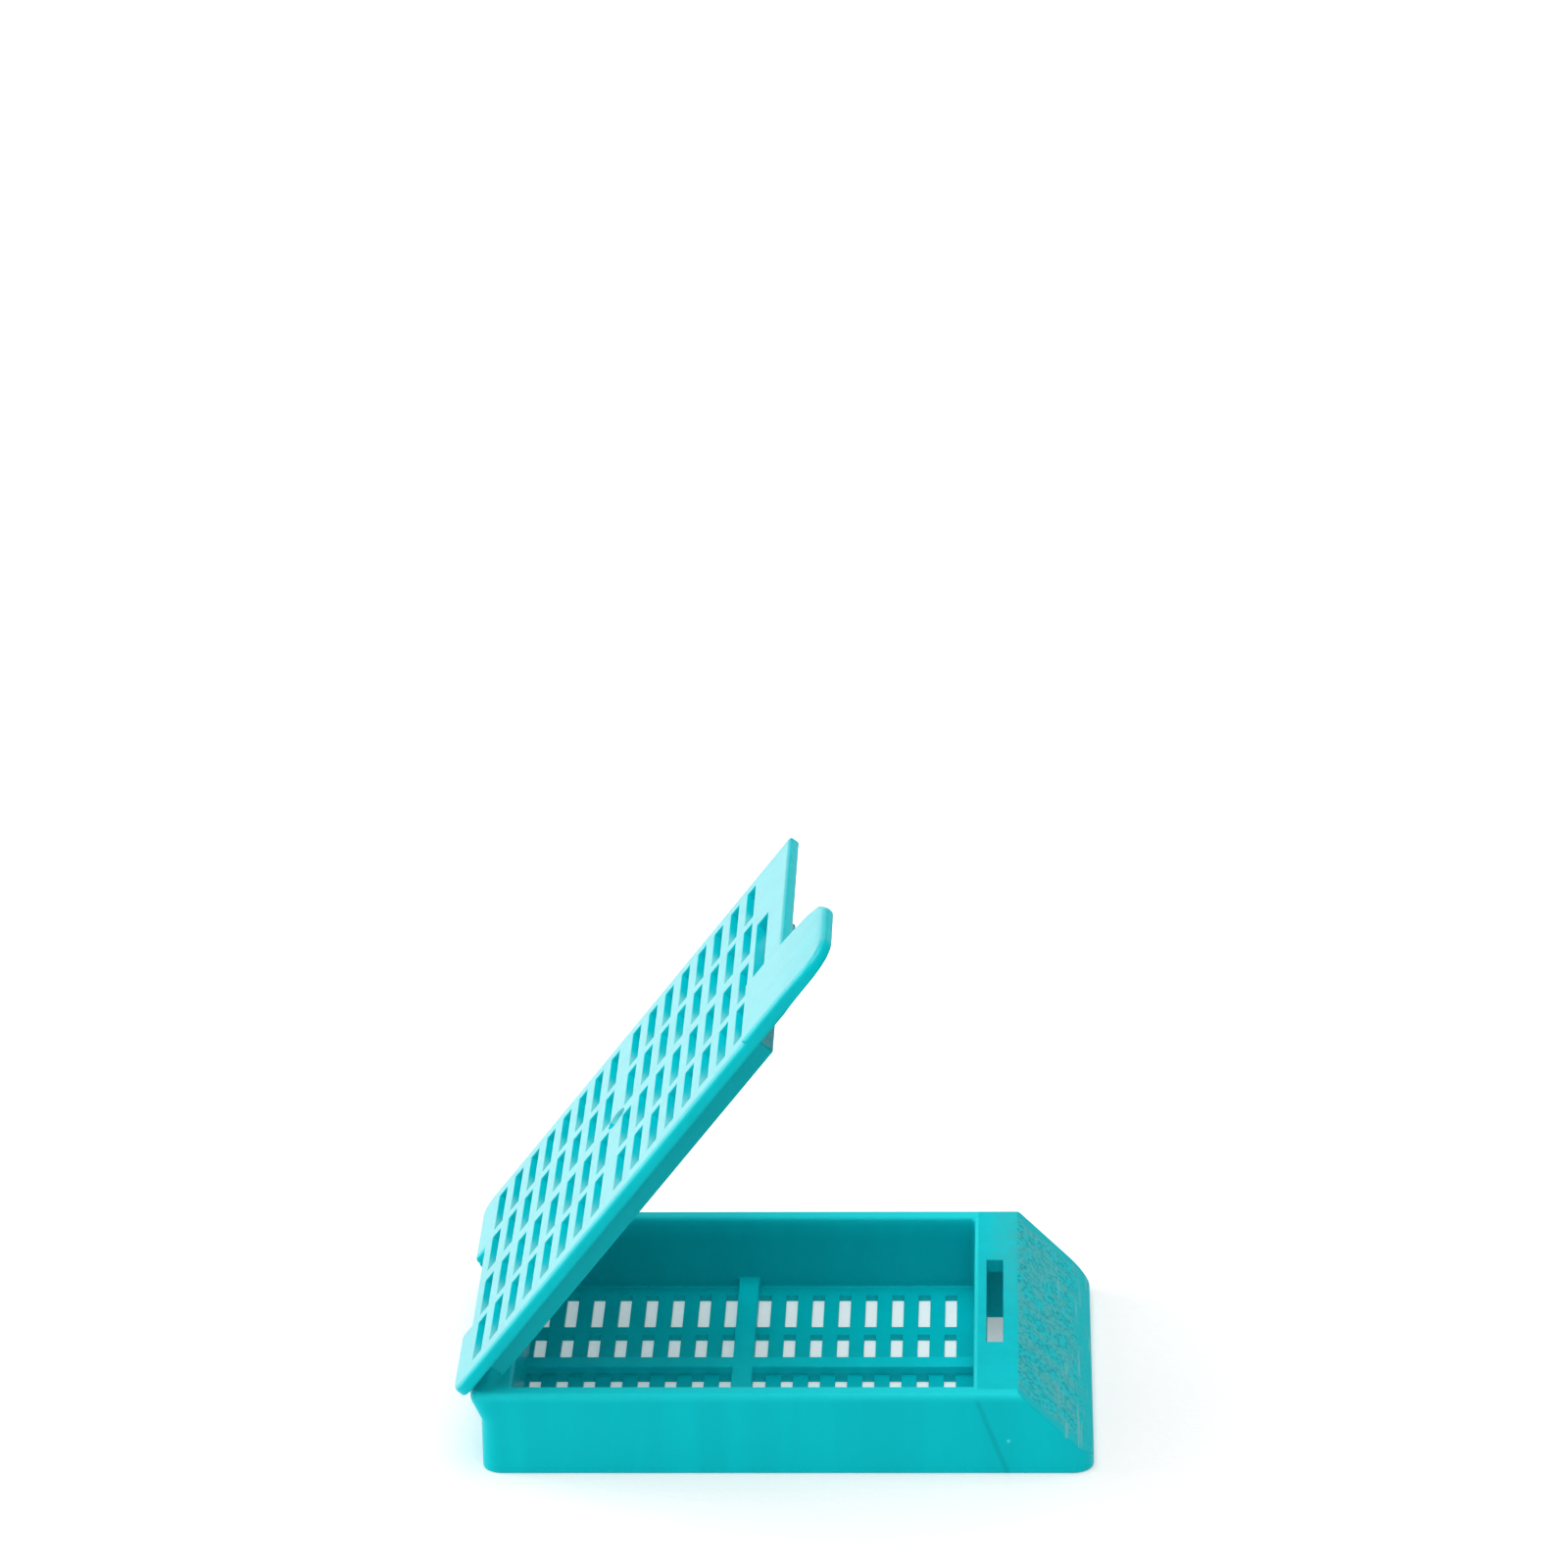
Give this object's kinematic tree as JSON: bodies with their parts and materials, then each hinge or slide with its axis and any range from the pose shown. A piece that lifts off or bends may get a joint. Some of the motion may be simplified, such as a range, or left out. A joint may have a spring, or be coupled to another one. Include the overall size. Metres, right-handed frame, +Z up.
{
  "type": "tissue cassette",
  "caption": "Flat plastic tray with a perforated floor and a sloping writing face, closed by a perforated snap lid that hinges at the rear and has a thumb tab.",
  "frame": {"origin": "middle of the tray's overall length and width, on its underside", "axes": "+X along the cassette towards the writing face, +Y across it away from the thumb tab, +Z up out of the tray"},
  "size_m": [0.042, 0.0286, 0.0374],
  "materials": {
    "tray_plastic": "satin moulded acetal, finely grained on the writing face",
    "lid_plastic": "satin moulded acetal"
  },
  "bodies": {
    "base": {"base": "tray_plastic"},
    "lid": {"lid": "lid_plastic"}
  },
  "joints": [
    {"name": "lid_hinge", "type": "hinge", "parent": "base", "child": "lid", "pos_m": [-0.01955, 0, 0.00421], "axis": [0, -1, 0], "range_deg": [-52, 100]}
  ]
}
